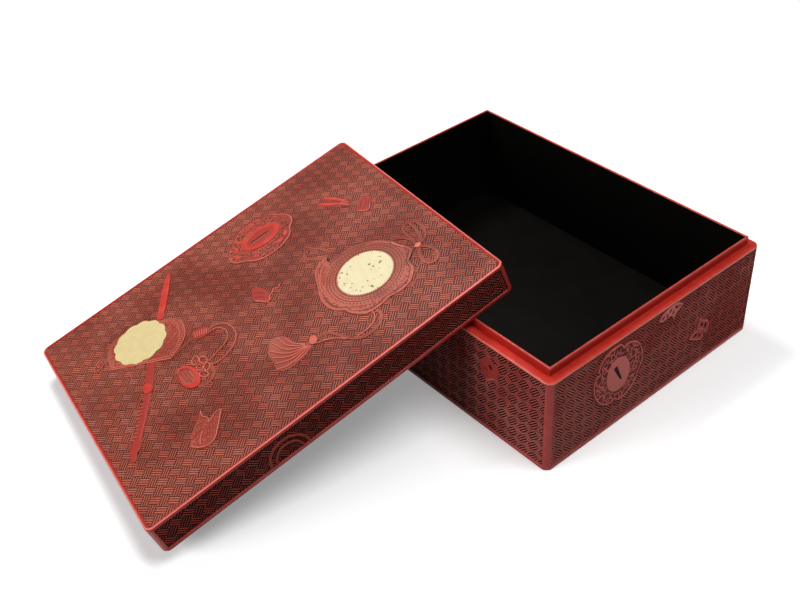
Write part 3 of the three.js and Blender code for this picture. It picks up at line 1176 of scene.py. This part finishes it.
def drum(relief):
    """A disc seen at a slant, with a bright rim, and the openwork flower beside it."""
    rim = ellipse((106.8, 134.5), 18.4, 0.54, 94, count=12)
    hole = ellipse((105.3, 137), 12.6, 0.56, 94, count=12)
    relief.plate(rim, hole, top=2.0, polished=True, edge=0.8)
    relief.floor(ellipse((105.3, 137), 12.4, 0.56, 94, count=12))
    for row in ([(102.5, 146), (103, 128)], [(105.5, 148), (106, 127)], [(108.5, 146), (109, 128)]):
        relief.bars(row, 2.6, 2.4, 1.5, top=1.4, tone=FACE_TONE)
    petals = (
        ellipse((121, 148.5), 5.6, 0.62, 60), ellipse((127.5, 142), 5.6, 0.6, 100),
        ellipse((126.5, 131), 5.2, 0.6, 70), ellipse((120, 124.5), 5.6, 0.6, 110),
        ellipse((120.5, 136), 4.4, 0.7, 90),
    )
    relief.cords(*petals, width=1.7, top=1.8, tone=2.8, closed=True)
    relief.plate(ellipse((123.5, 137), 2.2), top=1.9, edge=0.5)


def curl(centre, radius, start, hand):
    """Points of a spiral that winds in from its rim. Start is in degrees."""
    points = []
    for i in range(CURL_STEPS + 1):
        share = i / CURL_STEPS
        angle = math.radians(start) + hand * 2 * math.pi * CURL_TURNS * share
        reach = radius * (1 - (1 - CURL_CORE) * share)
        points.append((centre[0] + reach * math.cos(angle), centre[1] + reach * math.sin(angle)))
    return points


def pouch(relief):
    outline = [
        (71.5, 54), (73, 50), (79, 44), (85.5, 41.3), (92.5, 42.5), (101, 52), (108, 61.5),
        (114, 70.5, CORNER), (107, 72), (101, 70, CORNER), (98, 74), (98.5, 84, CORNER),
        (94, 85, CORNER), (91, 79), (85, 75), (77.5, 65.5),
    ]
    relief.floor(outline)
    relief.cords([(72, 53), (79, 45), (85.5, 42.3), (92, 43.5), (101, 53.5), (108, 63), (113, 70)],
                 [(79.5, 48.5), (82, 54), (86.5, 59.5), (88, 61)], width=1.7, top=1.9)
    relief.cords([(113, 70.5), (106, 70.5), (100, 67), (97, 66)],
                 [(97, 66), (98.5, 72), (95.5, 77), (97, 85)], width=1.5, top=2.0)
    spots = [
        (80, 58, 0), (78, 64, 90), (85, 67, 200), (87, 51, 30), (91, 57, 140), (93.5, 48.5, 260),
        (98.5, 59, 10), (92, 64, 80), (84, 47.5, 180), (104, 64.5, 120), (90, 73, 300),
        (75.5, 53.5, 240),
    ]
    curls = [curl((x, y), 2.6, start, (-1) ** i) for i, (x, y, start) in enumerate(spots)]
    relief.cords(*curls, width=1.3, top=1.6, tone=2.5)
    relief.strokes(strew(outline, [], 3.8, 1.6), 3.6, 1.5, top=1.4, tone=2.2)


def tassel(relief):
    outline = [
        (217, 67), (211, 63.5), (203, 60.5), (192, 59.5), (180.5, 61.5), (174, 68.5, CORNER),
        (177, 78), (178, 91), (182, 99.4), (190.5, 107.5), (198.7, 104.5), (203.5, 95), (205.5, 84),
        (211, 75), (218, 73),
    ]
    relief.floor(outline)
    fibres = (
        [(213, 68), (199, 64.5), (187, 63.5), (176, 68)],
        [(212, 69), (200, 68), (190, 69), (178.5, 76)],
        [(211, 70), (201, 70.5), (192, 73), (179.5, 85)],
        [(210.5, 71), (201.5, 73), (193.5, 77.5), (182, 94)],
        [(210.5, 72), (202.5, 76), (195, 82.5), (188.5, 102)],
        [(211, 73), (204, 79), (198.5, 86), (195.5, 104)],
        [(211.5, 74), (206, 80.5), (202.5, 87), (201.5, 97)],
        [(214, 66.5), (204, 62.5), (193, 61.5)],
    )
    relief.cords(*fibres, width=2.3, top=1.7, tone=2.6)
    knot = [(217.5, 76), (222, 76.8), (224, 71.5), (219.5, 66), (215.5, 67.5)]
    relief.plate(knot, top=2.1, edge=0.6, tone=2.6)
    relief.rope([(219, 68.5), (227, 70.5), (234.5, 68), (239.5, 58.5), (244.5, 46.5), (251, 37.5),
                 (260, 33), (270, 34), (279, 38.5), (284, 46.5), (283.5, 54)], gap=2.0)
    relief.cords([(219, 66), (225, 62.8), (231.5, 59.5), (238, 53), (243.5, 45.5)],
                 [(252.8, 39.8), (263, 39), (273, 42.5), (278, 48.5), (279.5, 55)], width=1.6, top=1.7)


# %% [markdown]
# A sword guard is a plate of metal with a slot for the blade and a smooth oval seat round it.
# This one has four lobes. The small charms beside it are a plaque with a twist of ribbon, two
# clappers and a petal.

# %% Sword guard and small charms


def sword_guard(relief):
    """A four-lobed guard with a plain oval seat and the slot for a blade."""
    outline = [
        (227, 270, CORNER), (219, 264), (213.8, 252), (214.8, 239.5), (221.5, 233.5),
        (226, 230, CORNER), (235, 220.5), (252, 216.6), (268, 219.5), (279, 226.5), (283, 235, CORNER),
        (291, 243.5), (292.2, 255), (281.5, 270, CORNER), (268.5, 280.8), (254, 284), (238, 280),
    ]
    relief.floor(outline)
    # The pale cord along the lit side of the outline is a painted highlight; the rest is dimmer.
    relief.cords(outline[2:14], width=1.6, top=1.85)
    relief.cords(outline[13:] + outline[:3], width=1.5, top=1.6, tone=2.2)
    seat = ellipse((254.3, 251.3), 23.4, 0.66, count=12)
    relief.plate(seat, ellipse((254, 251.6), 17, 0.56, count=12), top=2.0, polished=True, edge=0.6)
    slot = [(241.5, 250.8, CORNER), (264.5, 250.8, CORNER), (264.5, 253.2, CORNER),
            (241.5, 253.2, CORNER)]
    relief.plate(ellipse((254, 251.6), 17.2, 0.57, count=12), slot, top=1.6, edge=0.25)
    # A dark plate in the slot: painted shade.
    slot_shade = [(240.5, 250, CORNER), (265.5, 250, CORNER), (265.5, 254, CORNER), (240.5, 254, CORNER)]
    relief.plate(slot_shade, top=1.05, tone=0, edge=0.1)
    relief.cords([(241, 249.9), (265, 249.9)], width=0.8, top=1.8)
    lumps = [(221, 245, 110), (236, 228.5, 150), (255, 277, 10), (276, 233, 55), (225, 256, 70),
             (248, 275, 160), (233, 264, 120), (267, 227, 20)]
    for x, y, turn in lumps:
        relief.plate(ellipse((x, y), 4.2, 0.6, turn), top=1.6, polished=True, edge=0.6)
    relief.strokes(strew(outline, [seat], 3.6, 1.5), 4.0, 1.4, top=1.5, tone=2.3)
    # Dark strokes of tone 0: painted shade of gouge cuts.
    relief.strokes(strew(outline, [seat], 5.1, 2.4), 3.6, 1.0, top=1.45, tone=0)


def charms(relief):
    """A leaf-shaped plaque with a twist of ribbon, two clappers and a petal."""
    plaque = [(203, 169.5), (205.5, 181), (211, 187.5), (217.5, 180), (219.5, 169),
              (216, 157.5, CORNER), (213, 156), (207, 163)]
    relief.plate(plaque, top=1.5, edge=0.6)
    relief.cords([(203.5, 169), (208, 163), (214.5, 156.5), (218, 162), (222.5, 164.5),
                  (226.5, 167.5), (229.5, 165), (234, 168)], width=1.8, top=1.9)
    # Dark lines of tone 0: painted shade for cuts.
    relief.cuts([(206, 173), (211, 169), (213, 164)], [(208.5, 180), (213, 175), (216, 169)], top=1.7)
    for bar in ([(323, 238), (333, 226), (341, 216.5)], [(332, 242), (339, 231), (346, 216.5)]):
        relief.cords(bar, width=4.2, top=1.9, polished=True)
        # A pale line along one side of each clapper: painted highlight.
        relief.cords(beside(bar, 1.5), width=0.9, top=1.8)
    relief.plate(ellipse((344.5, 213), 5.2, 0.7, 120), top=1.6)
    relief.cords([(339, 218), (343, 213), (345, 207)], [(343, 219), (348, 213)], width=1.5, top=2.0)
    petal = [(346, 194, CORNER), (354, 201.5), (361.5, 206, CORNER), (366.5, 201.5), (365.5, 193),
             (355, 182, CORNER), (348, 187.5)]
    relief.plate(petal, top=1.5, edge=0.6)
    relief.cords([(346.5, 193), (348.5, 188), (355, 182.5), (361, 187.5)], width=1.4, top=1.8)
    # Dark lines of tone 0: painted shade for cuts.
    relief.cuts([(350, 192), (358, 201)], [(352, 188), (361, 196), (362.5, 203)],
                [(357, 186), (364, 196)], width=1.1, top=1.65)


top = Relief(LID_TOP_SUNK_SHADE)
for draw in (fan, staff, mirror_frame, bow, fan_cord, drum, pouch, tassel, sword_guard, charms):
    draw(top)
top.finish("lid_top_ornament", top_frame(LID_PLACE, LID_TOP_CUT), "lid", CARVED_TOP_LIGHT_TONED)

# %% [markdown]
# ## Ornament of the walls and of the lid's sides
# The right wall carries a larger sword guard, tilted, and two small openwork charms. The front
# wall shows part of a shell where the lid doesn't hide it. The rest of the front wall and the
# two hidden walls are guesses, which repeat motifs of the same kinds.

# %% Motifs of the walls


def tilted_guard(relief):
    """The guard of the right wall, in that wall's millimetres."""
    outline = [
        (66, 87, CORNER), (70, 95), (79, 101), (90, 102.8), (97.5, 101), (100, 95.5, CORNER),
        (106, 97.5), (114, 95.5), (121, 90.5), (126.5, 82), (129.3, 72), (129, 61), (125, 54, CORNER),
        (123.5, 47), (120, 41), (112, 34.5), (103.5, 31.2), (97, 32.5), (92.5, 37, CORNER), (86, 34.8),
        (77, 38.5), (69.5, 46), (64, 55), (61, 66), (61.5, 76), (64, 80), (69.5, 80.5, CORNER),
    ]
    relief.floor(outline)
    relief.cords(outline, width=1.9, top=1.9, closed=True)
    slot = [(92, 78.8, CORNER), (87.6, 76.6, CORNER), (99.1, 56.4, CORNER), (101.3, 57.4, CORNER)]
    seat = ellipse((95, 66.2), 21.8, 0.75, 105, count=12)
    relief.plate(outline, top=1.15, tone=0.62, edge=0.1)
    relief.plate(seat, slot, top=1.85, tone=WORN_AND_HIGHLIT_TONE, edge=0.4)
    # A dark ellipse of tone 0 in the slot: painted shade.
    relief.plate(ellipse((95, 67.3), 12.8, 0.34, 116.5), top=1.25, tone=0, edge=0.1)
    relief.strokes(strew(outline, [seat], 4.3, 2.1), 5.8, 2.3, tone=2.7)


def openwork_leaf(relief):
    outline = [
        (151, 98, CORNER), (157, 104), (167, 107), (178, 107), (187.5, 101, CORNER), (181, 96.5),
        (176.5, 93), (174, 88, CORNER), (171, 94.5), (164, 95), (157, 94.5),
    ]
    holes = [
        ellipse((157.5, 99), 2.4, 0.6, 30), ellipse((163.5, 98.5), 2.2, 0.6, 100),
        ellipse((168, 102.5), 2.4, 0.6, 60), ellipse((172.5, 98), 2.2, 0.6, 80),
        ellipse((177, 102.5), 2.6, 0.6, 120), ellipse((182, 101.5), 1.8, 0.6, 10),
    ]
    relief.floor(outline)
    relief.plate(outline, *holes, top=1.8, tone=2.9)


def paper_butterfly(relief):
    upper = [(219, 63, CORNER), (218, 51, CORNER), (224, 48), (230, 43), (233, 38, CORNER),
             (236.5, 44), (234.5, 52.5), (227, 57)]
    lower = [(207.5, 43.5, CORNER), (217.5, 48.5, CORNER), (226, 45), (229, 38),
             (225, 33.5, CORNER), (216, 38)]
    relief.floor(upper)
    relief.floor(lower)
    relief.plate(upper, ellipse((225, 53), 2.9, 0.6, 130), ellipse((231.5, 48), 3.4, 0.5, 100),
                 top=1.4, tone=2.4)
    relief.plate(lower, ellipse((216, 43.5), 3.6, 0.5, 5), ellipse((223, 40), 2.7, 0.5, 120),
                 top=1.4, tone=2.4)
    relief.cords(upper, lower, width=1.4, top=1.9, closed=True)


def shell(relief):
    """A lobed shell with a toothed lip."""
    outline = [
        (110.5, 84, CORNER), (113, 89), (117.5, 90, CORNER), (120, 95), (124.5, 96.5, CORNER),
        (127, 91), (131.5, 90.5, CORNER), (135.5, 86), (134, 80.5, CORNER), (134, 75),
        (130, 71.5, CORNER), (126, 69), (122.5, 63, CORNER), (117, 65), (113.5, 70, CORNER),
        (110.5, 76),
    ]
    relief.floor(outline)
    relief.plate(outline, ellipse((124.5, 84), 3.2, 0.6, 120), ellipse((117.5, 79), 2.2, 0.5, 70),
                 top=1.4)
    relief.cords([(122, 94), (119, 84), (119, 70)], [(131, 88), (128, 79), (124.5, 70)],
                 width=1.2, top=1.75, tone=2.3)
    relief.bars([(120, 66.5), (125, 69), (130, 74)], 2.6, 2.6, 1.3, top=1.8)


# %% [markdown]
# A motif that was drawn in one place can stand in another. Each row below names a motif, a
# point near its middle, where that point lands on the wall in millimetres, a turn in degrees
# and a size. The motifs of the right wall were drawn where they stand.

# %% Ornament on the walls of the base
SHELL_MIDDLE = (124, 79)
BUTTERFLY_MIDDLE = (224, 48)
LEAF_MIDDLE = (170, 98)
GUARD_MIDDLE = (253, 251)
TASSEL_MIDDLE = (225, 70)
POUCH_MIDDLE = (92, 60)
WALL_MOTIFS = {
    "front": (
        (shell, SHELL_MIDDLE, (324, 79), 0, 1),
        (shell, SHELL_MIDDLE, (150, 50), 70, 1),
        (paper_butterfly, BUTTERFLY_MIDDLE, (60, 62), 0, 1),
    ),
    "right": ((tilted_guard, *AS_DRAWN), (openwork_leaf, *AS_DRAWN), (paper_butterfly, *AS_DRAWN)),
    "back": (
        (sword_guard, GUARD_MIDDLE, (110, 58), 30, 1),
        (tassel, TASSEL_MIDDLE, (245, 56), 8, 0.72),
        (paper_butterfly, BUTTERFLY_MIDDLE, (345, 75), 40, 1),
    ),
    "left": (
        (pouch, POUCH_MIDDLE, (95, 55), -20, 1),
        (openwork_leaf, LEAF_MIDDLE, (170, 72), 160, 1),
        (shell, SHELL_MIDDLE, (235, 50), 15, 1),
    ),
}

for i, side in enumerate(SIDES):
    wall = Relief()
    for motif, *landing in WALL_MOTIFS[side]:
        wall.draw_at(*landing)
        motif(wall)
    wall.finish(side + "_wall_ornament", side_frame(BASE_PLACE, i, CUT_LEVEL), "base")

# %% [markdown]
# Each side of the lid has two rings, one in the other, whose lower halves the band hides. They
# can be read on the front side only, so the other sides have theirs at a similar place.

# %% Ornament on the lid's sides
RINGS = ((20.8, 3.4), (14.4, 3.0))
RING_HEIGHT = 4.2
FRONT_RING_PLACE = 139.0
OTHER_RING_SHARE = 0.62

for i, side in enumerate(SIDES):
    skirt = Relief()
    along = FRONT_RING_PLACE if side == "front" else OTHER_RING_SHARE * 2 * half_spans(i)[0]
    for radius, width in RINGS:
        upper_half = ellipse((along, RING_HEIGHT), radius, count=16)[:9]
        skirt.cords(upper_half, width=width, top=1.5, tone=1.4)
    skirt.finish("lid_" + side + "_ornament", side_frame(LID_PLACE, i, LID_CUT_LEVEL), "lid",
                 CARVED_LID_SIDE_SHADED)

# %% [markdown]
# ## Floor and light
# The photograph has a white ground with soft shadows. The floor is pale, and a little light of
# its own, which only the camera and reflections see, lifts it to white outside the shadow. To
# all other light it is grey, so that it doesn't fill the cuts with light from below.
#
# The key lamp stands low in front and gives the carving its shadows. One lamp overhead lights
# the ledge and the lid's top, and a small one draws a sheen on the lid.

# %% Floor, world and lamps
FLOOR_SIZE = 6.0
FLOOR_WHITE = 0.98
FLOOR_BOUNCE = 0.3
FLOOR_GLOW = 0.28
WORLD_LIGHT = 0.08


def make_floor():
    mesh = bmesh.new()
    bmesh.ops.create_grid(mesh, x_segments=1, y_segments=1, size=FLOOR_SIZE)
    floor = add_object("floor", as_data("floor", mesh))
    paint = Paint("white_ground", roughness=0.9, specular=0.0)
    path = paint.tree.nodes.new("ShaderNodeLightPath")
    seen = Value(paint, path.outputs["Is Camera Ray"]) + Value(paint, path.outputs["Is Glossy Ray"])
    grey = (FLOOR_BOUNCE, FLOOR_BOUNCE, FLOOR_BOUNCE, 1)
    white = (FLOOR_WHITE, FLOOR_WHITE, FLOOR_WHITE, 1)
    paint.set(Base_Color=paint.mix(seen, grey, white))
    glow = paint.node("ShaderNodeEmission", None, {"Color": (1, 1, 1, 1), "Strength": FLOOR_GLOW * seen})
    both = paint.node("ShaderNodeAddShader", None, {0: Value(paint, paint.shader.outputs[0]), 1: glow})
    paint.connect(both, paint.tree.nodes["Material Output"].inputs["Surface"])
    floor.data.materials.append(paint.material)


def area_lamp(name, place, aim, size, power):
    """A round lamp. Place, aim and size are in metres and power is in watts."""
    data = bpy.data.lights.new(name, "AREA")
    data.shape = "DISK"
    data.size = size
    data.energy = power
    lamp = add_object(name, data)
    lamp.location = place
    lamp.rotation_mode = "QUATERNION"
    lamp.rotation_quaternion = (Vector(aim) - Vector(place)).to_track_quat("-Z", "Y")


def light_the_world():
    world = bpy.data.worlds.new("studio")
    world.use_nodes = True
    background = world.node_tree.nodes["Background"]
    background.inputs["Color"].default_value = (1, 1, 1, 1)
    background.inputs["Strength"].default_value = WORLD_LIGHT
    bpy.context.scene.world = world


make_floor()
light_the_world()
area_lamp("key", place=(-0.75, -3.0, 1.35), aim=(0, -0.15, 0.05), size=1.2, power=50)
area_lamp("top", place=(0.55, 0.1, 1.75), aim=(0, -0.1, 0.05), size=1.1, power=18)
area_lamp("sheen", place=(-0.95, -0.05, 1.8), aim=(-0.1, -0.2, 0.05), size=0.6, power=18)
bpy.context.scene.view_settings.view_transform = "Standard"
print("floor, world and", len(bpy.data.lights), "lamps")
